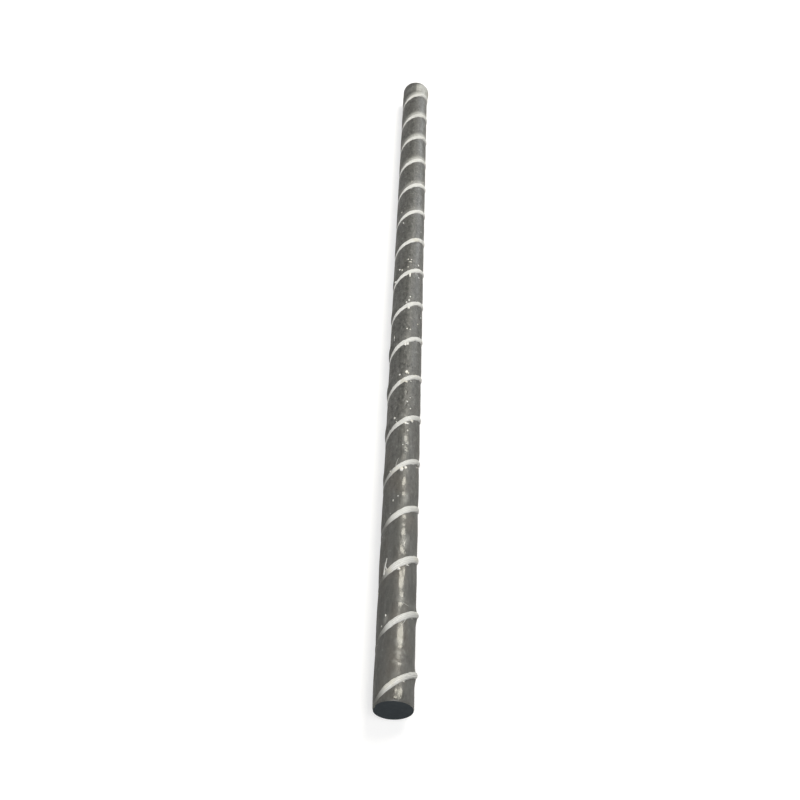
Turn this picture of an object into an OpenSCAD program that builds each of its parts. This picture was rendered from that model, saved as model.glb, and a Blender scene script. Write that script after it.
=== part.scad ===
// Fibre-reinforced reinforcing bar: a straight pultruded rod with one cord
// wound round it as a continuous right-running helix, both sawn off square.
// Millimetres. The bar lies along Y with the near end at -Y, and Z is up.
// The origin is midway along the bar, on the surface that it rests on.

/* [Rod] */
// Diameter of the rod under the cord
rod_d = 10; // [6:0.5:20]
// Length between the two sawn ends
rod_len = 275; // [120:5:600]
// Width of the broken edge at each sawn end
edge_break = 0.2; // [0.05:0.05:0.5]

/* [Winding] */
// Width of the flattened cord, measured along the rod
cord_w = 1.8; // [0.8:0.1:2.5]
// Height that the cord stands above the rod
cord_h = 0.5; // [0.3:0.05:1]
// Travel of the cord along the rod in one turn
lead = 16.3; // [10:0.1:40]
// Distance from the near end to where the cord first crosses the top
first_crossing = 4.9; // [0:0.1:9]
// How far each turn leans along the rod to either side of a true helix
lay_lean = 1.25; // [0:0.05:2]
// Direction round the rod of the point where the lean reaches the far end most
lay_lean_at = 40; // [-180:5:180]
// How far the lay wanders along the rod over many turns
lay_wander = 0.65; // [0:0.05:1.5]
// Number of turns in one full wander
wander_turns = 13; // [6:1:40]

/* [Hidden] */

rod_r = rod_d / 2;
outer_r = rod_r + cord_h;
rod_facets = 96;

// The cord is swept in straight steps, with a ring on the top, the sides and
// the underside of every turn. Its base clears the rod at the middle of a step.
steps_per_turn = 24;
step_deg = 360 / steps_per_turn;
bond_gap = 0.01;
base_r = rod_r / cos(step_deg / 2) + bond_gap;
crown_points = 5;

// The sweep runs past both ends and is sawn off with the rod, by a block that is
// wider than the cord.
overrun_turns = 1;
saw_margin = 1;
saw_w = 2 * (outer_r + saw_margin);
first_step = -ceil((first_crossing / lead + overrun_turns) * steps_per_turn);
last_step = ceil(((rod_len - first_crossing) / lead + overrun_turns) * steps_per_turn);

// The cord's middle at a number of turns, counted from +Z towards +X, after it
// first crosses the top. Both shifts are nothing at that crossing.
middle_turns = (rod_len / 2 - first_crossing) / lead;
function lean(turns) = lay_lean * cos(360 * turns - lay_lean_at);
function wander(turns) = lay_wander * sin(360 * (turns - middle_turns) / wander_turns);
function cord_place(turns) =
    first_crossing + lead * turns + lean(turns) - lean(0) + wander(turns) - wander(0);

// The cord's cross-section as [along the rod, radius]: a flat base on the rod
// and a crown that is half an ellipse.
cord_section = concat(
    [[-cord_w / 2, base_r], [cord_w / 2, base_r]],
    [for (i = [1 : crown_points])
        let (a = 180 * i / (crown_points + 1))
        [cord_w / 2 * cos(a), base_r + (outer_r - base_r) * sin(a)]]
);
section_count = len(cord_section);

function cord_ring(step) =
    let (turns = step / steps_per_turn, a = 360 * turns)
    [for (p = cord_section)
        [p[1] * sin(a), cord_place(turns) + p[0], p[1] * cos(a)]];

// Lays a piece that was drawn from its near end, on its axis, in its place.
module lay_down() {
    translate([0, -rod_len / 2, outer_r]) children();
}

module rod() {
    color([0.27, 0.27, 0.26])
        lay_down()
            rotate([-90, 0, 0])
                rotate_extrude($fn = rod_facets)
                    polygon([
                        [0, 0],
                        [rod_r - edge_break, 0],
                        [rod_r, edge_break],
                        [rod_r, rod_len - edge_break],
                        [rod_r - edge_break, rod_len],
                        [0, rod_len]
                    ]);
}

module cord_sweep() {
    points = [for (step = [first_step : last_step]) each cord_ring(step)];
    rings = last_step - first_step + 1;
    near_cap = [for (i = [0 : section_count - 1]) i];
    far_cap = [for (i = [section_count - 1 : -1 : 0]) (rings - 1) * section_count + i];
    sides = [for (ring = [0 : rings - 2], i = [0 : section_count - 1])
        let (j = (i + 1) % section_count,
             a = ring * section_count + i,
             b = ring * section_count + j,
             c = (ring + 1) * section_count + j,
             d = (ring + 1) * section_count + i)
        each [[a, c, b], [a, d, c]]];
    polyhedron(points = points, faces = concat([near_cap], sides, [far_cap]));
}

module helical_winding() {
    color([0.86, 0.85, 0.80])
        lay_down()
            intersection() {
                cord_sweep();
                translate([-saw_w / 2, 0, -saw_w / 2])
                    cube([saw_w, rod_len, saw_w]);
            }
}

rod();
helical_winding();
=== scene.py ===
"""A fibre-reinforced reinforcing bar: a dark resin-bonded rod with one pale cord wound round it.

Metres. The bar lies along Y, near end at -Y, Z up, and turns of the cord are counted from where it
first crosses the top of the rod. Angles round the rod run from +Z towards +X.
"""

import math

import bmesh
import bpy
from mathutils import Matrix, Vector
from mathutils.bvhtree import BVHTree


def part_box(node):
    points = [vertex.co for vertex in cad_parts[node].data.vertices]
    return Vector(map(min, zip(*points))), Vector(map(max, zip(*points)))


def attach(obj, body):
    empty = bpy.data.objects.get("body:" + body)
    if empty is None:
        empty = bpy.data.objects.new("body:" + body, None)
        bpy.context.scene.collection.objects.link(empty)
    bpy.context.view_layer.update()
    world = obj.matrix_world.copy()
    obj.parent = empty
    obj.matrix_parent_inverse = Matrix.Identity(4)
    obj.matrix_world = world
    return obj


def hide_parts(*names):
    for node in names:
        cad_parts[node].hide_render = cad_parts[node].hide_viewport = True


TAU = 2 * math.pi
MM = 0.001

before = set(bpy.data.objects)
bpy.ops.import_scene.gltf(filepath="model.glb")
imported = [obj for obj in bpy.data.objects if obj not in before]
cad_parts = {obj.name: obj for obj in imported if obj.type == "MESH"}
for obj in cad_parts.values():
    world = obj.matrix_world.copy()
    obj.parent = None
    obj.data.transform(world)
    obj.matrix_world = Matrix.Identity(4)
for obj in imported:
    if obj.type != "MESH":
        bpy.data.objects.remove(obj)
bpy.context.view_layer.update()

# Sizes that the frame gives
rod_low, rod_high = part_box("rod")
ROD_RADIUS = (rod_high.z - rod_low.z) / 2
AXIS_HEIGHT = (rod_high.z + rod_low.z) / 2
NEAR_Y, FAR_Y = rod_low.y, rod_high.y
ROD_LENGTH = FAR_Y - NEAR_Y

# The lay of the cord, as it is wound
LEAD = 16.3 * MM
FIRST_CROSSING = 4.9 * MM
LEAN = 1.25 * MM
LEAN_AT = math.radians(40)
WANDER = 0.65 * MM
WANDER_TURNS = 13
MIDDLE_TURNS = (ROD_LENGTH / 2 - FIRST_CROSSING) / LEAD

# The rod is a little thinner than its frame, squeezed under the cord and swollen between its turns
SHRINK = 0.07 * MM
SQUEEZE = 0.10 * MM
SQUEEZE_REACH = 1.8 * MM
SWELL = 0.07 * MM
LUMP = 0.06 * MM
LUMP_SIZE = 2.6 * MM
WAVE_SIZE = 14 * MM
RAGGED_SIZE = 1.3 * MM
EDGE_BREAK = 0.1 * MM
FACE_RELIEF = 0.12 * MM

# Swellings under the loose turns and by the last one, on the right and on top: turn, degrees,
# mm past the cord, reach along the rod, reach round it in degrees, rise
SWELLINGS = (
    (0, 84, -0.2, 1.7, 38, 0.50),
    (1, 84, -0.1, 1.7, 38, 0.52),
    (2, 84, 0.0, 1.6, 35, 0.15),
    (16, 74, 5.0, 3.4, 48, 0.70),
    (16, 10, 6.4, 2.0, 26, 0.45),
)

# Just past each turn near the sixth the rod swells a little more, most of all on its left
LATE_SWELL = 0.40 * MM
LATE_SWELL_PAST = 3.6 * MM
LATE_SWELL_REACH = 2.2 * MM
LATE_SWELL_TURN = 6.2
LATE_SWELL_TURNS = 2.8
LATE_SWELL_ON_TOP = 0.62
LATE_SWELL_MORE_LEFT = 0.38

# The rod is a little out of round: it grows on its left from the first turn to the twelfth
LEFT_GROWTH = 0.28 * MM
LEFT_GROWTH_AT_START = 0.3

# The near end was sawn a little out of square: its foot stands out further than its top
NEAR_CUT_SLOPE = math.tan(math.radians(3.5))
NEAR_CUT_REACH = 4 * MM

# The cord is a flattened bundle of strands, which wind round it as it runs
CORD_WIDTH = 1.65 * MM
CORD_HEIGHT = 0.42 * MM
CORD_STRANDS = 6
STRANDS_PASSED_PER_TURN = 2.9
KEEL_DEPTH = 0.3 * MM

# The sides of the rod on which the turns of cord get painted shade (left, right), painted light (upper
# left) or are greyed
LEFT_SHADE_AT = math.radians(-100)
PAINTED_LIGHT_AT = math.radians(-60)
RIGHT_SHADE_AT = math.radians(62)
GREYED_AT = math.radians(30)


class Formula:
    """A number that a node socket carries. Arithmetic on it adds Math nodes to its plan."""

    def __init__(self, plan, socket):
        self.plan = plan
        self.socket = socket

    def __add__(self, other):
        return self.plan.math("ADD", self, other)

    def __sub__(self, other):
        return self.plan.math("SUBTRACT", self, other)

    def __mul__(self, other):
        return self.plan.math("MULTIPLY", self, other)

    def __truediv__(self, other):
        return self.plan.math("DIVIDE", self, other)

    def __rsub__(self, other):
        return self.plan.math("SUBTRACT", other, self)

    def __rtruediv__(self, other):
        return self.plan.math("DIVIDE", other, self)

    def __neg__(self):
        return self.plan.math("MULTIPLY", self, -1)

    __radd__ = __add__
    __rmul__ = __mul__


def of_either(operation, plain):
    """A function that works on plain numbers and on formulas alike."""

    def apply(value):
        if isinstance(value, Formula):
            return value.plan.math(operation, value)
        return plain(value)

    return apply


sine = of_either("SINE", math.sin)
cosine = of_either("COSINE", math.cos)
size_of = of_either("ABSOLUTE", abs)
exponential = of_either("EXPONENT", math.exp)


def bell(distance, reach):
    """1 at no distance, falling smoothly to nothing well past the reach."""
    ratio = distance / reach
    return exponential(ratio * ratio * -1)


class Plan:
    """Adds nodes to a geometry or shader tree and links what they are given."""

    def __init__(self, tree):
        self.tree = tree

    def add(self, kind, inputs=None, **settings):
        node = self.tree.nodes.new(kind)
        for name, value in settings.items():
            setattr(node, name, value)
        for key, value in (inputs or {}).items():
            self.feed(node.inputs[key], value)
        return node

    def feed(self, socket, value):
        if isinstance(value, Formula):
            value = value.socket
        if isinstance(value, bpy.types.NodeSocket):
            self.tree.links.new(value, socket)
        else:
            socket.default_value = value

    def math(self, operation, *values):
        node = self.add("ShaderNodeMath", dict(enumerate(values)), operation=operation)
        return Formula(self, node.outputs[0])

    def between(self, value, low, high, to_low=0.0, to_high=1.0):
        """The value's place from low to high, eased, as a number from to_low to to_high."""
        node = self.add(
            "ShaderNodeMapRange",
            {"Value": value, "From Min": low, "From Max": high, "To Min": to_low, "To Max": to_high},
            interpolation_type="SMOOTHSTEP",
        )
        return Formula(self, node.outputs["Result"])

    def split(self, vector):
        node = self.add("ShaderNodeSeparateXYZ", {0: vector})
        return [Formula(self, output) for output in node.outputs]

    def vector(self, x, y, z):
        return self.add("ShaderNodeCombineXYZ", {0: x, 1: y, 2: z}).outputs[0]

    def noise(self, vector, size, seed=0.0, detail=2.0, roughness=0.5):
        """Smooth noise from 0 to 1 whose features are about that size."""
        node = self.add(
            "ShaderNodeTexNoise",
            {"Vector": vector, "W": seed, "Scale": 1 / size, "Detail": detail, "Roughness": roughness},
            noise_dimensions="4D",
        )
        return Formula(self, node.outputs[0])


class GeometryPlan(Plan):
    """A geometry node tree with named inputs for its sizes."""

    def __init__(self, name, sizes):
        super().__init__(bpy.data.node_groups.new(name, "GeometryNodeTree"))
        faces = self.tree.interface
        faces.new_socket("Geometry", in_out="INPUT", socket_type="NodeSocketGeometry")
        faces.new_socket("Geometry", in_out="OUTPUT", socket_type="NodeSocketGeometry")
        self.sizes = sizes
        self.sockets = {
            label: faces.new_socket(label, in_out="INPUT", socket_type="NodeSocketFloat")
            for label in sizes
        }
        self.entry = self.add("NodeGroupInput")

    def size(self, label):
        return Formula(self, self.entry.outputs[label])

    def store(self, geometry, label, value, data_type="FLOAT"):
        node = self.add(
            "GeometryNodeStoreNamedAttribute",
            {"Geometry": geometry, "Name": label, "Value": value},
            data_type=data_type,
            domain="POINT",
        )
        return node.outputs[0]

    def finish(self, geometry, *paints):
        """Realizes the geometry and paints it: each paint is a material and its selection, or None."""
        last = self.add("GeometryNodeRealizeInstances", {0: geometry}).outputs[0]
        for material, selection in paints:
            inputs = {"Geometry": last, "Material": material}
            if selection is not None:
                inputs["Selection"] = selection
            last = self.add("GeometryNodeSetMaterial", inputs).outputs[0]
        self.feed(self.add("NodeGroupOutput").inputs[0], last)

    def grow(self, name, seed_mesh=None):
        """The tree's result on a seed mesh, as a plain mesh object."""
        mesh = seed_mesh or bpy.data.meshes.new(name)
        grower = bpy.data.objects.new(name + "_grower", mesh)
        bpy.context.scene.collection.objects.link(grower)
        modifier = grower.modifiers.new(name, "NODES")
        modifier.node_group = self.tree
        for label, value in self.sizes.items():
            modifier[self.sockets[label].identifier] = float(value)
        depsgraph = bpy.context.evaluated_depsgraph_get()
        grown = bpy.data.meshes.new_from_object(
            grower.evaluated_get(depsgraph), preserve_all_data_layers=True, depsgraph=depsgraph
        )
        grower.modifiers.remove(modifier)
        bpy.data.objects.remove(grower)
        grown.name = name
        piece = bpy.data.objects.new(name, grown)
        bpy.context.scene.collection.objects.link(piece)
        return piece


# ---------------------------------------------------------------- the lay of the cord


def lean(angle):
    return LEAN * cosine(angle - LEAN_AT)


def wander(turns):
    return WANDER * sine((turns - MIDDLE_TURNS) * (TAU / WANDER_TURNS))


LAY_START = FIRST_CROSSING - lean(0) - wander(0)
LAST_CROSSING = (ROD_LENGTH - LAY_START) / LEAD

# Where the cord came loose near the sawn ends and stands up: turn, reach in turns, share of the lift
LOOSE_LIFT = 0.46 * MM
LOOSE_TURNS = (
    (0.23, 0.16, 1),
    (1.24, 0.14, 1),
    (2.2, 0.12, 0.35),
    (LAST_CROSSING - 0.25, 0.14, 0.8),
)


def cord_place(turns):
    """How far from the near end the cord's middle is at a number of turns."""
    return LAY_START + LEAD * turns + lean(turns * TAU) + wander(turns)


def past_cord(plan, along, angle):
    """How far along the rod a point is from the middle of the nearest turn of cord."""
    drift = lean(angle) + wander((along - LAY_START) / LEAD)
    turns = (along - LAY_START - drift) / LEAD - angle / TAU
    return (turns - plan.math("ROUND", turns)) * LEAD


# ---------------------------------------------------------------- resin and fluff on the rod

# Smooth runs of resin: turn, degrees round the rod, mm past the cord, length, width in mm, and how
# far they slant round the rod for each mm along it
RESIN_RUNS = (
    (0, 3, -2.4, 1.3, 1.2, 0.5),
    (0, 20, -3.7, 3.6, 1.9, 0.1),
    (0, 5, -4.7, 2.2, 1.5, -0.1),
    (0, 14, 4.0, 0.9, 1.0, 0.0),
    (1, 16, -4.6, 5.72, 2.38, 0.05),
    (1, 14, -7.7, 0.99, 1.54, 0),
    (1, 20, -1.9, 1.32, 1.12, 0.6),
    (1, 16, 6.1, 2.2, 1.4, -0.2),
    (1, 11, 3.9, 1.54, 1.26, 0.2),
    (2, 12, -5.9, 3.96, 1.88, 0.1),
    (2, 19, -3.4, 2.86, 1, 0.1),
    (2, 8, -3.3, 2.42, 0.75, -0.1),
    (2, 18, 5.6, 3.3, 1.12, 0.2),
    (2, 9, 3.8, 2.86, 1.12, -0.3),
    (2, 22, 2.2, 1.76, 0.75, -0.3),
    (3, 13, -6.9, 2.4, 1.26, 0.1),
    (3, 13, -2.1, 1.6, 1.03, 0),
    (3, 13, -4.6, 1, 0.92, 0.2),
    (3, 8, 5.6, 1.6, 0.92, 0),
    (4, 8, -6.3, 3.4, 1.1, 0.1),
    (4, 11, 4.8, 2.2, 0.9, -0.2),
    (4, 2, 6.8, 1.2, 0.7, 0),
    (4, 15, 7, 1.4, 0.8, 0),
    (5, 9, -7.5, 2.2, 0.9, 0),
    (5, 7, 6.2, 2.6, 0.8, 0.1),
    (6, 6, -5.8, 1.8, 0.7, 0),
    (6, 5, 5.2, 2.2, 0.7, 0),
)
RUN_RISE = 0.01 * MM

# The runs levelled as they cured: the direction they face, how far round it they level, and how much
# of the rod's roundness they take away
RUN_LEVEL_AT = math.radians(11)
RUN_LEVEL_REACH = 0.35
RUN_LEVELLING = 0.75

# Dull smears of dust and fluff, in the same terms
SMEARS = (
    (0, 14, 3.9, 1.1, 2.6, 0.0),
    (0, -2, 5.3, 0.9, 1.6, 0.0),
    (0, 15, 5.6, 1.0, 2.2, 0.3),
    (0, 10, 6.9, 1.2, 2.4, 0.0),
    (0, 25, 6.6, 1.4, 1.0, -0.4),
    (0, 12, 9.5, 2.2, 2.6, 0.0),
    (1, -33, 2.4, 2.6, 1.5, 0.3),
    (1, 12, 5.0, 2.6, 2.2, 0.0),
    (2, -45, 3.0, 3.2, 1.2, 0.2),
    (2, 20, 6.0, 5.0, 2.4, 0.1),
    (3, 18, 3.5, 3.6, 1.8, 0.2),
    (4, 8, 8.6, 4.0, 1.6, 0.0),
)

# Fluff and dust that caught just past the cord, mostly on the side that faces up and right
DUST_PAST = 1.5 * MM
DUST_REACH = 1.4 * MM
DUSTY_AT = math.radians(25)

# The far end burst as it was sawn: how far from the end its pale fibres start and are at their full
BURST_FROM = 8.2 * MM
BURST_FULL = 5.0 * MM

# Drips and beads of cured resin: turn, degrees, mm past the cord, length, width and height in mm
DRIPS = (
    (1, -33, 3.6, 0.64, 0.44, 0.18),
    (2, 2, -1.6, 0.7, 0.9, 0.29),
    (2, 29, -1.5, 0.5, 0.8, 0.29),
    (3, -24, 5.4, 0.8, 0.32, 0.1),
    (3, -9, 5.8, 0.48, 0.24, 0.08),
    (4, -1, -1.4, 1.8, 1.1, 0.38),
    (4, 12, -1.6, 1, 0.8, 0.33),
    (5, 21, 7.9, 0.32, 0.28, 0.1),
    (5, 10, 6.8, 0.64, 0.48, 0.12),
    (5, 21, 3.6, 0.4, 0.32, 0.11),
    (5, -31, 3, 0.72, 0.56, 0.21),
    (5, 30, -1.2, 1.2, 0.9, 0.39),
    (5, 10, -1.6, 0.7, 1.6, 0.26),
    (5, 14, -4.5, 0.64, 0.48, 0.16),
    (4, 0, 7, 0.4, 0.48, 0.12),
    (4, 11, 7, 0.48, 0.32, 0.12),
    (6, 4, 2.7, 1.3, 0.9, 0.26),
    (6, -19, 3, 0.64, 0.56, 0.18),
    (6, 11, 2, 0.64, 0.56, 0.21),
    (6, 5, -1.3, 0.8, 0.8, 0.29),
    (7, 43, 6.8, 0.64, 0.4, 0.16),
    (7, 0, 5.4, 0.64, 0.56, 0.18),
    (7, 12, 4.5, 0.56, 0.56, 0.17),
    (7, -48, 5.7, 1.44, 0.32, 0.13),
    (7, -4, -1.3, 1.2, 0.8, 0.33),
    (7, 5, -1.5, 1.2, 0.7, 0.29),
    (8, 8, 3.6, 0.64, 0.56, 0.18),
    (8, -5, 1.6, 0.64, 0.56, 0.21),
    (8, 4, 2.1, 0.56, 0.56, 0.18),
    (8, 3, -1.4, 1.3, 0.8, 0.33),
    (8, 63, -6.2, 0.64, 0.56, 0.16),
    (9, -5, 6.7, 0.56, 0.4, 0.16),
    (9, 8, 6, 0.56, 0.56, 0.17),
    (9, 4, 4.9, 0.4, 1.36, 0.17),
    (9, 39, 2.7, 0.64, 0.56, 0.18),
    (9, -38, 4.3, 0.64, 0.56, 0.18),
    (9, -27, 2.9, 0.64, 0.56, 0.18),
    (9, -5, 2.8, 0.56, 0.56, 0.18),
    (9, 4, -1.7, 2.4, 0.75, 0.35),
    (9, -60, 1.1, 0.9, 1, 0.33),
    (9, 43, -3.7, 0.56, 0.56, 0.16),
    (11, -42, 4, 0.64, 0.56, 0.18),
    (11, -32, -3.6, 0.64, 0.56, 0.18),
)

# Small beads that spattered to either side of the cord: how many, how far from its middle they start
# and how much further they reach
SCATTERED_BEADS = 190
SPATTER_STARTS = 0.95 * MM
SPATTER_REACH = 4.0 * MM

# Every bead and drip is lumpy
BEAD_LUMP_SIZE = 0.5 * MM
BEAD_LUMP = 0.5 * MM

# Loose strands: thickness in mm, then points of turn, degrees, mm past the cord and mm above the
# rod's skin
LOOSE_STRANDS = (
    (0.30, ((2, -47, 0.3, 0.12), (2, -44, 1.8, 0.10), (2, -41, 3.2, 0.04), (2, -37, 4.4, -0.05))),
    (0.26, ((2, -35, 0.5, 0.12), (2, -38, 1.4, 0.06), (2, -42, 2.5, -0.03))),
    (0.07, ((1, 8, 4.7, 0.02), (1, 18, 4.0, 0.10), (1, 27, 3.1, 0.08), (1, 36, 2.5, 0.02))),
    (0.07, ((1, 30, -0.6, 0.25), (1, 22, -1.9, 0.12), (1, 10, -2.6, 0.05), (1, 2, -2.1, 0.15))),
    (0.08, ((4, -20, 0.7, 0.25), (4, -17, 1.9, 0.25), (4, -12, 2.9, 0.04))),
    (0.08, ((7, -44, 3.6, 0.04), (7, -48, 5.4, 0.10), (7, -50, 7.1, 0.02))),
    (0.07, ((9, 20, 0.7, 0.30), (9, 27, 1.6, 0.35), (9, 38, 2.0, 0.05))),
    (0.07, ((12, 10, -0.7, 0.25), (12, 3, -1.7, 0.20), (12, -6, -2.0, 0.03))),
)

# A loose strand thins towards its end and is partly soaked with resin
STRAND_TAPER = 0.55
STRAND_SOAKED = 0.35


def distance_to(runs, plan, along, angle):
    """0 in the middle of the nearest run and 1 at its edge."""
    nearest = None
    for turn, degrees, past, length, width, slant in runs:
        middle = cord_place(turn + degrees / 360) + past * MM
        forward = along - middle
        sideways = (angle - math.radians(degrees)) * ROD_RADIUS - forward * slant
        forward = forward / (length * MM / 2)
        sideways = sideways / (width * MM / 2)
        reach = plan.math("SQRT", forward * forward + sideways * sideways)
        nearest = reach if nearest is None else plan.math("MINIMUM", nearest, reach)
    return nearest


# ---------------------------------------------------------------- materials


def new_material(name):
    material = bpy.data.materials.new(name)
    material.use_nodes = True
    plan = Plan(material.node_tree)
    shader = material.node_tree.nodes["Principled BSDF"]
    place = plan.add("ShaderNodeTexCoord").outputs["Object"]
    return material, plan, shader, place


def blend(plan, amount, first, second):
    node = plan.add("ShaderNodeMix", {"Factor": amount}, data_type="RGBA")
    colours = [socket for socket in node.inputs if socket.type == "RGBA"]
    for socket, value in zip(colours, (first, second)):
        plan.feed(socket, value if isinstance(value, bpy.types.NodeSocket) else (*value, 1))
    return next(socket for socket in node.outputs if socket.type == "RGBA")


def stretched(plan, place, across, along):
    """Object coordinates scaled, so that a pattern is drawn out along the rod."""
    node = plan.add("ShaderNodeMapping", {"Vector": place, "Scale": (across, along, across)})
    return node.outputs[0]


def bump(plan, height, depth, strength=1.0, normal=None):
    inputs = {"Height": height, "Distance": depth, "Strength": strength}
    if normal is not None:
        inputs["Normal"] = normal
    return plan.add("ShaderNodeBump", inputs).outputs[0]


def paint_rod():
    """Dark resin over lengthwise fibres, glossy in patches."""
    material, plan, shader, place = new_material("rod_resin")
    drawn = stretched(plan, place, 1, 0.1)
    streaks = plan.noise(drawn, 0.5 * MM, 3.0, 3, 0.6)
    broad = plan.noise(stretched(plan, place, 1, 0.3), 3 * MM, 8.0, 2)
    tint = plan.noise(stretched(plan, place, 1, 0.5), 6 * MM, 21.0, 2)
    dark = blend(plan, plan.between(broad, 0.35, 0.7), (0.078, 0.078, 0.072), (0.098, 0.098, 0.092))
    grey = blend(plan, plan.between(streaks, 0.45, 0.75), dark, (0.114, 0.114, 0.108))
    grain = plan.between(plan.split(place)[1], NEAR_Y + 25 * MM, NEAR_Y + 110 * MM, 0.35, 1)
    warmth = plan.between(tint, 0.42, 0.7, 0, 0.9) * (1.15 - grain)
    warm = blend(plan, warmth, grey, (0.115, 0.101, 0.085))
    mottle = plan.noise(stretched(plan, place, 1, 0.5), 0.8 * MM, 41.0, 4, 0.75)
    murky = blend(plan, plan.between(mottle, 0.49, 0.36, 0, 0.8) * grain, warm, (0.030, 0.031, 0.029))
    specked = blend(plan, plan.between(mottle, 0.53, 0.68, 0, 0.75) * grain, murky, (0.23, 0.23, 0.22))
    fluff = plan.noise(place, 0.5 * MM, 33.0, 3, 0.7)
    dusty = Formula(plan, plan.add("ShaderNodeAttribute", attribute_name="dusty").outputs["Fac"])
    dust = dusty * plan.between(fluff, 0.25, 0.7, 0.45, 1.15)
    plan.feed(shader.inputs["Base Color"], blend(plan, dust, specked, (0.42, 0.42, 0.395)))
    patches = plan.noise(stretched(plan, place, 1, 0.45), 2.2 * MM, 5.0, 3, 0.6)
    wet = Formula(plan, plan.add("ShaderNodeAttribute", attribute_name="wet").outputs["Fac"])
    matt = plan.between(patches, 0.35, 0.65, 0.34, 0.52)
    plan.feed(shader.inputs["Roughness"], matt * (1 - wet) + wet * 0.12)
    lumps = plan.noise(stretched(plan, place, 1, 0.5), 1.1 * MM, 11.0, 2)
    fibres = plan.noise(stretched(plan, place, 1, 0.05), 0.25 * MM, 14.0, 2)
    wrinkles = plan.noise(stretched(plan, place, 0.6, 1.6), 0.7 * MM, 17.0, 3)
    surface = bump(plan, lumps, 0.06 * MM)
    surface = bump(plan, fibres * (1 - wet), 0.02 * MM, 1.0, surface)
    surface = bump(plan, wrinkles * (1 - wet) * grain, 0.12 * MM, 1.0, surface)
    plan.feed(shader.inputs["Normal"], surface)
    shader.inputs["IOR"].default_value = 1.52
    return material


def paint_sawn_end():
    """The sawn section: blue-black, with fibre ends and straight saw marks."""
    material, plan, shader, place = new_material("sawn_end")
    ends = plan.noise(place, 0.14 * MM, 2.0, 2)
    clouds = plan.noise(place, 2.5 * MM, 4.0, 2)
    ground = blend(plan, plan.between(clouds, 0.3, 0.7), (0.046, 0.055, 0.062), (0.054, 0.065, 0.072))
    spotted = blend(plan, plan.between(ends, 0.6, 0.75, 0, 0.7), ground, (0.066, 0.077, 0.085))
    plan.feed(shader.inputs["Base Color"], spotted)
    saw = plan.noise(place, 0.3 * MM, 6.0, 1)
    strokes = plan.add(
        "ShaderNodeMapping",
        {"Vector": place, "Scale": (0.03, 1, 1), "Rotation": (0, 0.5, 0)},
    )
    marks = plan.noise(strokes.outputs[0], 0.22 * MM, 9.0, 2)
    surface = bump(plan, marks, 0.05 * MM)
    plan.feed(shader.inputs["Normal"], bump(plan, saw, 0.02 * MM, 1.0, surface))
    shader.inputs["Roughness"].default_value = 0.7
    shader.inputs["Specular IOR Level"].default_value = 0.12
    return material


def paint_cord():
    """Cream strands wetted with resin, with painted shade in the grooves between them and on their
    flanks, and painted light on their upper left.
    """
    material, plan, shader, place = new_material("cord_strands")
    groove = plan.add("ShaderNodeAttribute", attribute_name="groove").outputs["Fac"]
    tint = plan.noise(place, 3.5 * MM, 2.0, 2)
    dirt = plan.noise(place, 0.8 * MM, 7.0, 3, 0.6)
    cream = blend(plan, plan.between(tint, 0.54, 0.78), (0.70, 0.702, 0.69), (0.68, 0.657, 0.585))
    # painted light on the cord's upper left in the middle turns
    painted_light = plan.add("ShaderNodeAttribute", attribute_name="painted_light").outputs["Fac"]
    cream_with_painted_light = blend(plan, painted_light, cream, (0.86, 0.86, 0.84))
    dirt_and_painted_light = blend(plan, plan.between(dirt, 0.55, 0.8, 0, 0.5), cream_with_painted_light, (0.42, 0.40, 0.355))
    # painted shade in the grooves between strands
    groove_shaded = blend(plan, Formula(plan, groove) * 0.55, dirt_and_painted_light, (0.34, 0.32, 0.28))
    # painted shade darkens the cord's flanks; on loose strands the same mark is darker resin
    resin_and_painted_shade = plan.add("ShaderNodeAttribute", attribute_name="resin_and_painted_shade").outputs["Fac"]
    plan.feed(shader.inputs["Base Color"], blend(plan, resin_and_painted_shade, groove_shaded, (0.15, 0.15, 0.135)))
    hairs = plan.noise(place, 0.16 * MM, 3.0, 2)
    plan.feed(shader.inputs["Normal"], bump(plan, hairs, 0.03 * MM))
    plan.feed(shader.inputs["Roughness"], plan.between(dirt, 0.3, 0.7, 0.35, 0.6))
    return material


def paint_crumbs():
    """Cured resin and fluff, cream and glossy; on drops in the band where the resin mirrors the lamps,
    the cream is partly a painted highlight.
    """
    material, plan, shader, place = new_material("cured_resin")
    tint = plan.noise(place, 1.2 * MM, 2.0, 2)
    # cream, partly the bits' own colour and partly a painted highlight on drops in the lamps' reflection
    plan.feed(
        shader.inputs["Base Color"],
        blend(plan, plan.between(tint, 0.4, 0.65), (0.82, 0.815, 0.79), (0.74, 0.715, 0.62)),
    )
    shader.inputs["Roughness"].default_value = 0.25
    return material


# The lamps light the floor fully out to one distance, and it is dim past the other. Its own glow
# evens it out.
LIT_OUT_TO = 0.35
DIM_FROM = 1.1
GLOW_WHERE_LIT = 0.57
GLOW_WHERE_DIM = 0.95


def paint_floor():
    """Pale and matt, and evened out to the same white near the lamps and away from them."""
    material, plan, shader, place = new_material("pale_floor")
    shader.inputs["Base Color"].default_value = (0.5, 0.5, 0.5, 1)
    shader.inputs["Roughness"].default_value = 0.9
    shader.inputs["Specular IOR Level"].default_value = 0.1
    distance = plan.add("ShaderNodeVectorMath", {0: place}, operation="LENGTH").outputs["Value"]
    seen = Formula(plan, plan.add("ShaderNodeLightPath").outputs["Is Camera Ray"])
    glow = plan.between(distance, LIT_OUT_TO, DIM_FROM, GLOW_WHERE_LIT, GLOW_WHERE_DIM) * seen
    shader.inputs["Emission Color"].default_value = (1, 1, 1, 1)
    plan.feed(shader.inputs["Emission Strength"], glow)
    return material


# ---------------------------------------------------------------- the rod


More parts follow.
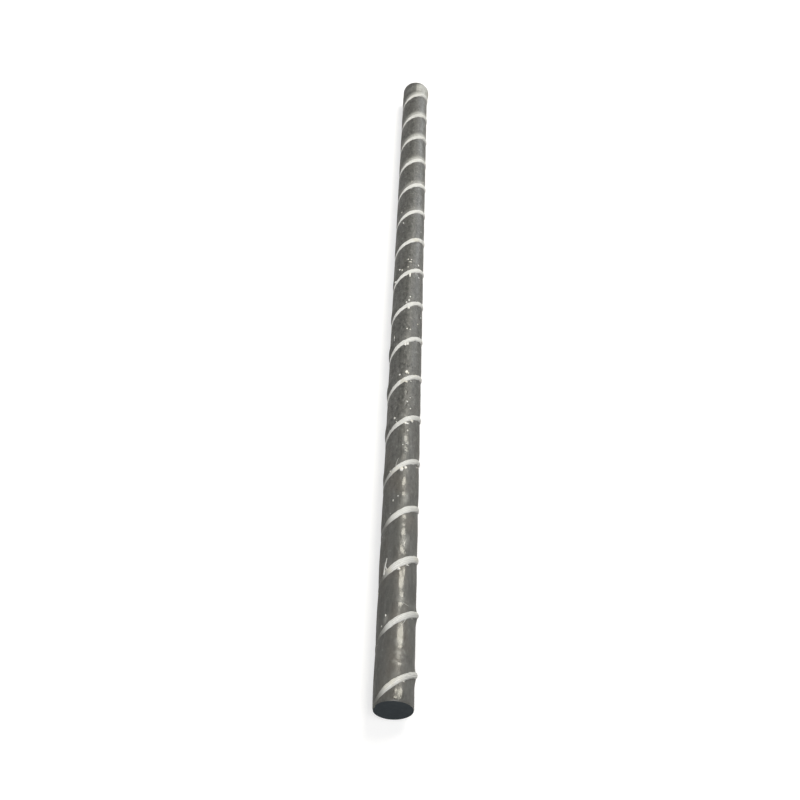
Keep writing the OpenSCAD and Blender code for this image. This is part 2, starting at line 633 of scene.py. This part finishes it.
def make_rod(resin, sawn):
    """The rod: waisted under the cord, swollen between its turns, lumpy, with sawn ends."""
    sides, steps, end_rings = 132, 700, 10
    plan = GeometryPlan(
        "rod_shape",
        {
            "Radius": ROD_RADIUS - SHRINK,
            "Length": ROD_LENGTH,
            "Squeeze": SQUEEZE,
            "Swell": SWELL,
            "Late swell": LATE_SWELL,
            "Left growth": LEFT_GROWTH,
            "Lump": LUMP,
            "Edge break": EDGE_BREAK,
            "Face relief": FACE_RELIEF,
            "Run rise": RUN_RISE,
            "Near cut slope": NEAR_CUT_SLOPE,
            "Seed": 4,
        },
    )
    # a drum of radius 1 and depth 1 is drawn out to the rod: its depth runs along the bar
    drum = plan.add(
        "GeometryNodeMeshCylinder",
        {"Vertices": sides, "Side Segments": steps, "Fill Segments": end_rings, "Radius": 1, "Depth": 1},
        fill_type="TRIANGLE_FAN",
    )
    across, back, up = plan.split(plan.add("GeometryNodeInputPosition").outputs[0])
    low = -back
    share = up + 0.5
    reach = plan.math("SQRT", across * across + low * low)
    angle = plan.math("ARCTAN2", across, low)
    along = share * plan.size("Length")
    gap = past_cord(plan, along, angle)

    skin = plan.vector(
        sine(angle) * plan.size("Radius"), along, cosine(angle) * plan.size("Radius")
    )
    # lumps are drawn out along the rod, and long waves are not
    drawn = plan.add("ShaderNodeVectorMath", {0: skin, 1: (1, 0.45, 1)}, operation="MULTIPLY")
    drawn = drawn.outputs[0]
    lumps = plan.noise(drawn, LUMP_SIZE, plan.size("Seed"), 2) - 0.5
    waves = plan.noise(skin, WAVE_SIZE, plan.size("Seed") + 9, 1) - 0.5
    between_turns = 0.5 - 0.5 * cosine(gap * (TAU / LEAD))
    turns = (along - LAY_START) / LEAD
    late = bell(gap - LATE_SWELL_PAST, LATE_SWELL_REACH)
    late = late * bell(turns - LATE_SWELL_TURN, LATE_SWELL_TURNS)
    late = late * (LATE_SWELL_ON_TOP - LATE_SWELL_MORE_LEFT * sine(angle))
    growth = plan.between(turns, 1, 12, LEFT_GROWTH_AT_START, 1) * (0.5 - 0.5 * sine(angle))
    on_sawn_faces = plan.math("GREATER_THAN", size_of(share - 0.5), 0.4999)

    swollen = 0
    for turn, degrees, past, reach_along, reach_degrees, rise in SWELLINGS:
        middle = cord_place(turn + degrees / 360) + past * MM
        here = bell(along - middle, reach_along * MM)
        here = here * bell(angle - math.radians(degrees), math.radians(reach_degrees))
        swollen = swollen + here * (rise * MM)

    # smooth runs of resin and dull smears have ragged edges
    ragged = plan.noise(drawn, RAGGED_SIZE, plan.size("Seed") + 2, 3, 0.6) - 0.5
    run = distance_to(RESIN_RUNS, plan, along, angle) + ragged * 0.5
    wet = plan.between(run, 1.35, 0.5)
    smear = plan.between(distance_to(SMEARS, plan, along, angle) + ragged * 1.6, 1.4, 0.2, 0, 0.34)

    # the resin levelled as it ran, so a run is flatter than the rod round it
    aside = plan.math("MINIMUM", angle - RUN_LEVEL_AT, RUN_LEVEL_REACH)
    aside = plan.math("MAXIMUM", aside, -RUN_LEVEL_REACH)
    flat = (1 / cosine(aside) - 1) * ROD_RADIUS * RUN_LEVELLING

    # fluff and dust grow thick past the tenth turn, and pale fibres show on the burst far end
    caught = bell(gap - DUST_PAST, DUST_REACH) * plan.between(turns, 10, 13.5, 0.08, 0.95)
    caught = caught * plan.between(cosine(angle - DUSTY_AT), -0.2, 0.9, 0.2, 1)
    on_right = plan.between(angle, math.radians(0), math.radians(7), 0.3, 1.1)
    burst = plan.between(along, ROD_LENGTH - BURST_FROM, ROD_LENGTH - BURST_FULL) * on_right
    burst = burst * plan.between(gap, 0, 1.2 * MM) * (0.78 + ragged * 0.5)
    dusty = plan.math("MAXIMUM", plan.math("MAXIMUM", caught, smear), burst)

    radius = (
        plan.size("Radius")
        - plan.size("Squeeze") * bell(gap, SQUEEZE_REACH)
        + plan.size("Swell") * between_turns
        + plan.size("Late swell") * late
        + plan.size("Left growth") * growth
        + plan.size("Lump") * (lumps * 2 + waves)
        + wet * (flat + plan.size("Run rise"))
        + swollen
        - plan.size("Edge break") * on_sawn_faces
    )

    # the sawn faces are not quite flat, and the near one is out of square
    inside = plan.between(reach, 0.9, 1.0, 1, 0)
    face_noise = plan.noise(plan.vector(across, up, low), 0.25, plan.size("Seed") + 5, 3) - 0.5
    relief = face_noise * inside * on_sawn_faces * plan.size("Face relief")
    height = cosine(angle) * radius * reach
    near_end = plan.math("MAXIMUM", 1 - along / NEAR_CUT_REACH, 0)
    out_of_square = height * plan.size("Near cut slope") * near_end
    marked = plan.store(drum.outputs["Mesh"], "wet", wet)
    marked = plan.store(marked, "dusty", dusty)
    placed = plan.add(
        "GeometryNodeSetPosition",
        {
            "Geometry": marked,
            "Position": plan.vector(
                sine(angle) * radius * reach,
                along + relief + out_of_square + NEAR_Y,
                height + AXIS_HEIGHT,
            ),
        },
    )
    ends = plan.math("MAXIMUM", drum.outputs["Top"], drum.outputs["Bottom"])
    plan.finish(placed.outputs[0], (resin, None), (sawn, ends.socket))
    rod = plan.grow("rod_body")
    rod.data.shade_smooth()
    rod.data.set_sharp_from_angle(angle=math.radians(40))
    return rod


# ---------------------------------------------------------------- the cord


def saw_off(mesh, y, outward):
    """Cuts a closed mesh at a plane through the axis at y, and closes the cut."""
    shape = bmesh.new()
    shape.from_mesh(mesh)
    bmesh.ops.bisect_plane(
        shape,
        geom=shape.verts[:] + shape.edges[:] + shape.faces[:],
        dist=1e-7,
        plane_co=(0, y, AXIS_HEIGHT),
        plane_no=outward,
        clear_outer=True,
    )
    rim = [edge for edge in shape.edges if edge.is_boundary]
    bmesh.ops.holes_fill(shape, edges=rim, sides=0)
    bmesh.ops.recalc_face_normals(shape, faces=shape.faces[:])
    shape.to_mesh(mesh)
    shape.free()


def make_cord(strands):
    """The cord: a flattened twist of strands laid in a helix and sawn off with the rod."""
    around, steps = 44, 1900
    first_turn, last_turn = -0.45, LAST_CROSSING + 0.25
    plan = GeometryPlan(
        "cord_lay",
        {
            "Bed radius": ROD_RADIUS - SHRINK - SQUEEZE,
            "Width": CORD_WIDTH,
            "Height": CORD_HEIGHT,
            "Keel depth": KEEL_DEPTH,
            "Loose lift": LOOSE_LIFT,
            "First turn": first_turn,
            "Last turn": last_turn,
            "Strands": CORD_STRANDS,
            "Seed": 2,
        },
    )
    # a tube of radius 1 and depth 1 is laid along the helix: its depth runs through the turns
    tube = plan.add(
        "GeometryNodeMeshCylinder",
        {"Vertices": around, "Side Segments": steps, "Radius": 1, "Depth": 1},
        fill_type="NGON",
    )
    east, north, up = plan.split(plan.add("GeometryNodeInputPosition").outputs[0])
    round_cord = plan.math("ARCTAN2", north, east)
    turns = (up + 0.5) * (plan.size("Last turn") - plan.size("First turn")) + plan.size("First turn")

    # three quarters of the ring is the crown, and the rest a keel that is bedded in the rod
    crown_angle = plan.math("MAXIMUM", plan.math("MINIMUM", round_cord * (2 / 3), TAU / 4), -TAU / 4)
    keel = plan.between(size_of(round_cord), 0.75 * math.pi, math.pi)
    side = sine(crown_angle) * (1 - keel)
    crown = cosine(crown_angle)

    # strands show as rounded ridges that run slantwise along the cord
    bundle = (crown_angle / math.pi + 0.5) * plan.size("Strands") + turns * STRANDS_PASSED_PER_TURN
    ridge = plan.math("POWER", size_of(sine(bundle * math.pi)), 0.6)

    def turned_to(side_of_rod, low, high):
        """1 where the cord lies on that side of the rod, down to nothing away from it."""
        return plan.between(cosine(turns * TAU - side_of_rod), low, high)

    # on the left flank of the first turns the cord is bedded deeper and darkened with painted shade, on
    # the right it is darkened with painted shade, in the middle of the bar its upper left is lightened
    # with painted light, and towards the far end its crest is greyed
    resin_and_painted_shade = turned_to(LEFT_SHADE_AT, 0.1, 0.78) * plan.between(turns, 2, 6, 1, 0.05)
    # painted shade on the right flank of the first turns
    dirt_and_painted_light = turned_to(RIGHT_SHADE_AT, 0.62, 0.97) * plan.between(turns, 5, 8, 0.26, 0.06)
    greyed = turned_to(GREYED_AT, 0.5, 0.95) * plan.between(turns, 12.5, 14.5, 0, 0.2)
    # painted light on the upper left flank of the middle turns, which the lamps leave dim
    painted_light = turned_to(PAINTED_LIGHT_AT, 0.6, 0.9) * plan.between(turns, 5, 7.5)
    painted_light = painted_light * plan.between(turns, 12, 14, 1, 0.5)

    # the cord is uneven and its edges ragged, and it frays about the second turn and ever more past
    # the fourth
    way_round = turns * (TAU * ROD_RADIUS)
    path = plan.vector(way_round, side * (2 * MM), 0)
    uneven = plan.noise(plan.vector(way_round, 0, 0), 5 * MM, plan.size("Seed"), 2) - 0.5
    ragged = plan.noise(path, 0.9 * MM, plan.size("Seed") + 3, 2) - 0.5
    rise = plan.noise(path, 2.5 * MM, plan.size("Seed") + 6, 2) - 0.5
    frayed = bell(turns - 2.3, 0.9) + plan.between(turns, 4.5, 7, 0, 0.45)
    frayed = frayed + plan.between(turns, 9, 13, 0, 0.65)
    half_width = plan.size("Width") * (0.5 + 0.34 * uneven + 0.12 * frayed) * (1 - 0.3 * resin_and_painted_shade)
    toward_near = half_width * side + ragged * plan.between(turns, 3, 6, 0.42 * MM, 0.75 * MM)

    # the cord stands up where it came loose near the sawn ends
    loose = 0
    for turn, reach, share in LOOSE_TURNS:
        loose = loose + bell(turns - turn, reach) * share
    height = plan.size("Height") * (1 + 0.5 * uneven + 0.4 * rise) + loose * plan.size("Loose lift")
    height = height * (1 - 0.5 * resin_and_painted_shade)
    crown_height = height * crown * (0.84 + 0.16 * ridge)
    radius = plan.size("Bed radius") + crown_height - keel * plan.size("Keel depth")

    slope = math.atan(LEAD / (TAU * ROD_RADIUS))
    angle = turns * TAU + toward_near * (math.sin(slope) / ROD_RADIUS)
    along = cord_place(turns) - toward_near * math.cos(slope)
    # the groove mark drives painted shade between the strands
    marked = plan.store(tube.outputs["Mesh"], "groove", 1 - ridge)
    # the mark stored here is painted shade on the left and right flanks, with the greyed far crest
    marked = plan.store(marked, "resin_and_painted_shade", plan.math("MAXIMUM", resin_and_painted_shade, dirt_and_painted_light + greyed))
    marked = plan.store(marked, "painted_light", painted_light)
    placed = plan.add(
        "GeometryNodeSetPosition",
        {
            "Geometry": marked,
            "Position": plan.vector(
                sine(angle) * radius, along + NEAR_Y, cosine(angle) * radius + AXIS_HEIGHT
            ),
        },
    )
    plan.finish(placed.outputs[0], (strands, None))
    cord = plan.grow("cord_winding")
    saw_off(cord.data, NEAR_Y, (0, -1, NEAR_CUT_SLOPE))
    saw_off(cord.data, FAR_Y, (0, 1, 0))
    cord.data.shade_smooth()
    cord.data.set_sharp_from_angle(angle=math.radians(60))
    return cord


# ---------------------------------------------------------------- drips, beads and strands


def seats_on(rod, spots):
    """Points on the rod's skin or above it: turn, degrees, mm past the cord and mm above the skin."""
    skin = BVHTree.FromObject(rod, bpy.context.evaluated_depsgraph_get())
    seats = []
    for turn, degrees, past, above in spots:
        angle = math.radians(degrees)
        along = NEAR_Y + cord_place(turn + degrees / 360) + past * MM
        outward = Vector((math.sin(angle), 0, math.cos(angle)))
        outside = Vector((0, along, AXIS_HEIGHT)) + outward * (2 * ROD_RADIUS)
        touched = skin.ray_cast(outside, -outward)[0]
        seats.append(touched + outward * (above * MM))
    return seats


def make_beads(cured, rod):
    """Beads of resin: the drips in their places, and small ones that spattered along the cord."""
    seed_mesh = bpy.data.meshes.new("drip_places")
    places = seats_on(rod, [(turn, degrees, past, 0) for turn, degrees, past, *_ in DRIPS])
    seed_mesh.from_pydata(places, [], [])
    turned = seed_mesh.attributes.new("bead_angle", "FLOAT", "POINT")
    sized = seed_mesh.attributes.new("bead_size", "FLOAT_VECTOR", "POINT")
    for index, (_, degrees, _, length, width, height) in enumerate(DRIPS):
        turned.data[index].value = math.radians(degrees)
        sized.data[index].vector = (width / 2 * MM, length / 2 * MM, height * MM)

    plan = GeometryPlan(
        "spatter",
        {
            "Count": SCATTERED_BEADS,
            "Smallest": 0.07 * MM,
            "Largest": 0.26 * MM,
            "Bed radius": ROD_RADIUS - SHRINK,
            "Last turn": LAST_CROSSING - 0.1,
            "Seed": 12,
        },
    )

    def draw(low, high, number):
        inputs = {"Min": low, "Max": high, "Seed": plan.size("Seed") + number}
        node = plan.add("FunctionNodeRandomValue", data_type="FLOAT")
        sockets = [socket for socket in node.inputs if socket.enabled]
        for socket in sockets:
            if socket.name in inputs:
                plan.feed(socket, inputs[socket.name])
        return Formula(plan, next(socket for socket in node.outputs if socket.enabled))

    # most of it lies just beside the cord, and it thins out from there
    turns = draw(0.05, plan.size("Last turn"), 0)
    side = draw(-0.6, 1.0, 1)
    past = plan.math("SIGN", side) * SPATTER_STARTS + side * size_of(side) * SPATTER_REACH
    along = cord_place(turns) + past
    angle = turns * TAU
    points = plan.add(
        "GeometryNodePoints",
        {
            "Count": plan.size("Count"),
            "Position": plan.vector(
                sine(angle) * plan.size("Bed radius"),
                along + NEAR_Y,
                cosine(angle) * plan.size("Bed radius") + AXIS_HEIGHT,
            ),
        },
    ).outputs[0]
    points = plan.store(points, "bead_angle", angle)
    girth = draw(0, 1, 2)
    girth = girth * girth * (plan.size("Largest") - plan.size("Smallest")) + plan.size("Smallest")
    size = plan.vector(girth, girth * draw(0.9, 1.9, 3), girth * 0.7)
    points = plan.store(points, "bead_size", size, "FLOAT_VECTOR")

    chosen = plan.add("GeometryNodeMeshToPoints", {"Mesh": plan.entry.outputs[0]}).outputs[0]
    both = plan.add("GeometryNodeJoinGeometry")
    plan.feed(both.inputs[0], chosen)
    plan.feed(both.inputs[0], points)
    bead = plan.add("GeometryNodeMeshIcoSphere", {"Radius": 1, "Subdivisions": 2})

    def stored(label, data_type):
        node = plan.add("GeometryNodeInputNamedAttribute", {"Name": label}, data_type=data_type)
        return next(socket for socket in node.outputs if socket.enabled)

    rotation = plan.vector(0, Formula(plan, stored("bead_angle", "FLOAT")), 0)
    spread = plan.add(
        "GeometryNodeInstanceOnPoints",
        {
            "Points": both.outputs[0],
            "Instance": bead.outputs["Mesh"],
            "Rotation": rotation,
            "Scale": stored("bead_size", "FLOAT_VECTOR"),
        },
    )
    solid = plan.add("GeometryNodeRealizeInstances", {0: spread.outputs[0]}).outputs[0]

    # a smooth noise, centred on nothing, shifts the points, so that no bead is a true dome
    place = plan.add("GeometryNodeInputPosition").outputs[0]
    lumpy = plan.add(
        "ShaderNodeTexNoise", {"Vector": place, "Scale": 1 / BEAD_LUMP_SIZE, "Detail": 2.0}
    ).outputs["Color"]
    centred = plan.add("ShaderNodeVectorMath", {0: lumpy, 1: (0.5,) * 3}, operation="SUBTRACT")
    moved = plan.add(
        "ShaderNodeVectorMath",
        {0: centred.outputs[0], 1: (BEAD_LUMP,) * 3},
        operation="MULTIPLY",
    )
    shaped = plan.add("GeometryNodeSetPosition", {"Geometry": solid, "Offset": moved.outputs[0]})
    plan.finish(shaped.outputs[0], (cured, None))
    beads = plan.grow("resin_beads", seed_mesh)
    beads.data.shade_smooth()
    return beads


def make_strands(strands, rod):
    """Single strands that came away from the cord and stuck to the rod."""
    curve = bpy.data.curves.new("loose_strands", "CURVE")
    curve.dimensions = "3D"
    curve.bevel_depth = 1
    curve.bevel_resolution = 2
    curve.use_fill_caps = True
    curve.resolution_u = 6
    for thickness, points in LOOSE_STRANDS:
        spline = curve.splines.new("NURBS")
        spline.points.add(len(points) - 1)
        spline.order_u = 4
        spline.use_endpoint_u = True
        for index, (point, seat) in enumerate(zip(spline.points, seats_on(rod, points))):
            point.co = (*seat, 1)
            thinned = STRAND_TAPER * index / (len(points) - 1)
            point.radius = thickness * MM * (1 - thinned)
    laid = bpy.data.objects.new("loose_strands_curve", curve)
    bpy.context.scene.collection.objects.link(laid)
    depsgraph = bpy.context.evaluated_depsgraph_get()
    mesh = bpy.data.meshes.new_from_object(laid.evaluated_get(depsgraph), depsgraph=depsgraph)
    bpy.data.objects.remove(laid)
    mesh.materials.clear()
    mesh.materials.append(strands)
    mesh.shade_smooth()
    resin_and_painted_shade = mesh.attributes.new("resin_and_painted_shade", "FLOAT", "POINT")
    resin_and_painted_shade.data.foreach_set("value", [STRAND_SOAKED] * len(mesh.vertices))
    piece = bpy.data.objects.new("loose_strands", mesh)
    bpy.context.scene.collection.objects.link(piece)
    return piece


# ---------------------------------------------------------------- light, floor and camera

FLOOR_SIZE = 6


def make_floor(material):
    bpy.ops.mesh.primitive_plane_add(size=FLOOR_SIZE, location=(0, 0, 0))
    floor = bpy.context.object
    floor.name = "floor"
    floor.data.materials.append(material)


# The lamps: name, centre, aim, length along the bar, width, radiance, colour. A soft key hangs over
# the camera, and a fill stands on the left. The wet resin mirrors the rest, which are ahead on the
# right: two long panels, a small low one and a warm lamp high up.
PLAIN, COOL, WARM = (1, 1, 1), (0.95, 0.98, 1.0), (1.0, 0.955, 0.81)
PANELS = (
    ("key", (0.16, -0.55, 1.25), (0.0, 0.0, 0.0), 1.3, 1.3, 2.5, PLAIN),
    ("fill", (-0.95, 0.60, 0.55), (0.0, 0.05, 0.0), 0.9, 0.7, 0.9, PLAIN),
    ("high_panel", (0.44, 1.0, 0.66), (-0.50, 1.0, -0.36), 1.5, 0.55, 1.4, COOL),
    ("low_panel", (0.91, 1.0, 0.24), (0.20, 1.0, -0.55), 1.5, 0.7, 0.95, (0.96, 0.98, 1.0)),
    ("far_panel", (0.60, 1.0, 0.17), (0.0, 0.1, 0.0), 0.36, 0.32, 3.0, COOL),
    ("top_lamp", (0.33, 0.49, 0.86), (0.33, 0.49, 0.0), 0.53, 0.36, 10, WARM),
)
SKY_ON_THE_BAR = 0.15


def add_panel(name, centre, aim, length, width, radiance, colour):
    """An area light with its length along the bar, which the camera doesn't see."""
    lamp = bpy.data.lights.new(name, "AREA")
    lamp.shape = "RECTANGLE"
    lamp.size, lamp.size_y = length, width
    lamp.energy = radiance * length * width * math.pi
    lamp.color = colour
    back = (Vector(centre) - Vector(aim)).normalized()
    along = (Vector((0, 1, 0)) - back * back.y).normalized()
    panel = bpy.data.objects.new(name, lamp)
    turned = Matrix((along, back.cross(along), back)).transposed()
    panel.matrix_world = Matrix.Translation(centre) @ turned.to_4x4()
    panel.visible_camera = False
    bpy.context.scene.collection.objects.link(panel)


def light_studio():
    """A white sky, dim where it lights the bar, and the lamps."""
    world = bpy.data.worlds.new("studio")
    world.use_nodes = True
    plan = Plan(world.node_tree)
    sky = world.node_tree.nodes["Background"]
    sky.inputs["Color"].default_value = (1, 1, 1, 1)
    seen = plan.add("ShaderNodeLightPath").outputs["Is Camera Ray"]
    plan.feed(sky.inputs["Strength"], plan.math("MAXIMUM", seen, SKY_ON_THE_BAR))
    bpy.context.scene.world = world
    bpy.context.scene.view_settings.view_transform = "Standard"
    for panel in PANELS:
        add_panel(*panel)


# The camera stands above the line of the bar, in front of its near end
CAMERA_HEIGHT = 210 * MM
CAMERA_BACK = 84 * MM
AIM_ALONG = 97.5 * MM
AIM_ACROSS = -1.35 * MM
CAMERA_ROLL = math.radians(1.76)
CAMERA_LENS = 40.5


def place_camera():
    """Sets up the camera, which looks down along the bar."""
    camera = bpy.data.objects.new("camera", bpy.data.cameras.new("camera"))
    camera.data.lens = CAMERA_LENS
    camera.data.clip_start = 0.01
    spot = Vector((0, NEAR_Y - CAMERA_BACK, AXIS_HEIGHT + CAMERA_HEIGHT))
    aim = Vector((AIM_ACROSS, NEAR_Y + AIM_ALONG, AXIS_HEIGHT))
    turned = (aim - spot).to_track_quat("-Z", "Y").to_matrix()
    camera.matrix_world = Matrix.Translation(spot) @ (
        turned @ Matrix.Rotation(CAMERA_ROLL, 3, "Z")
    ).to_4x4()
    bpy.context.scene.collection.objects.link(camera)
    bpy.context.scene.camera = camera


def main():
    place_camera()
    light_studio()
    make_floor(paint_floor())

    rod = make_rod(paint_rod(), paint_sawn_end())
    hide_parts("rod")
    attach(rod, "root")

    strands = paint_cord()
    cord = make_cord(strands)
    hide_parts("helical_winding")
    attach(cord, "root")

    for piece in (make_beads(paint_crumbs(), rod), make_strands(strands, rod)):
        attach(piece, "root")


main()
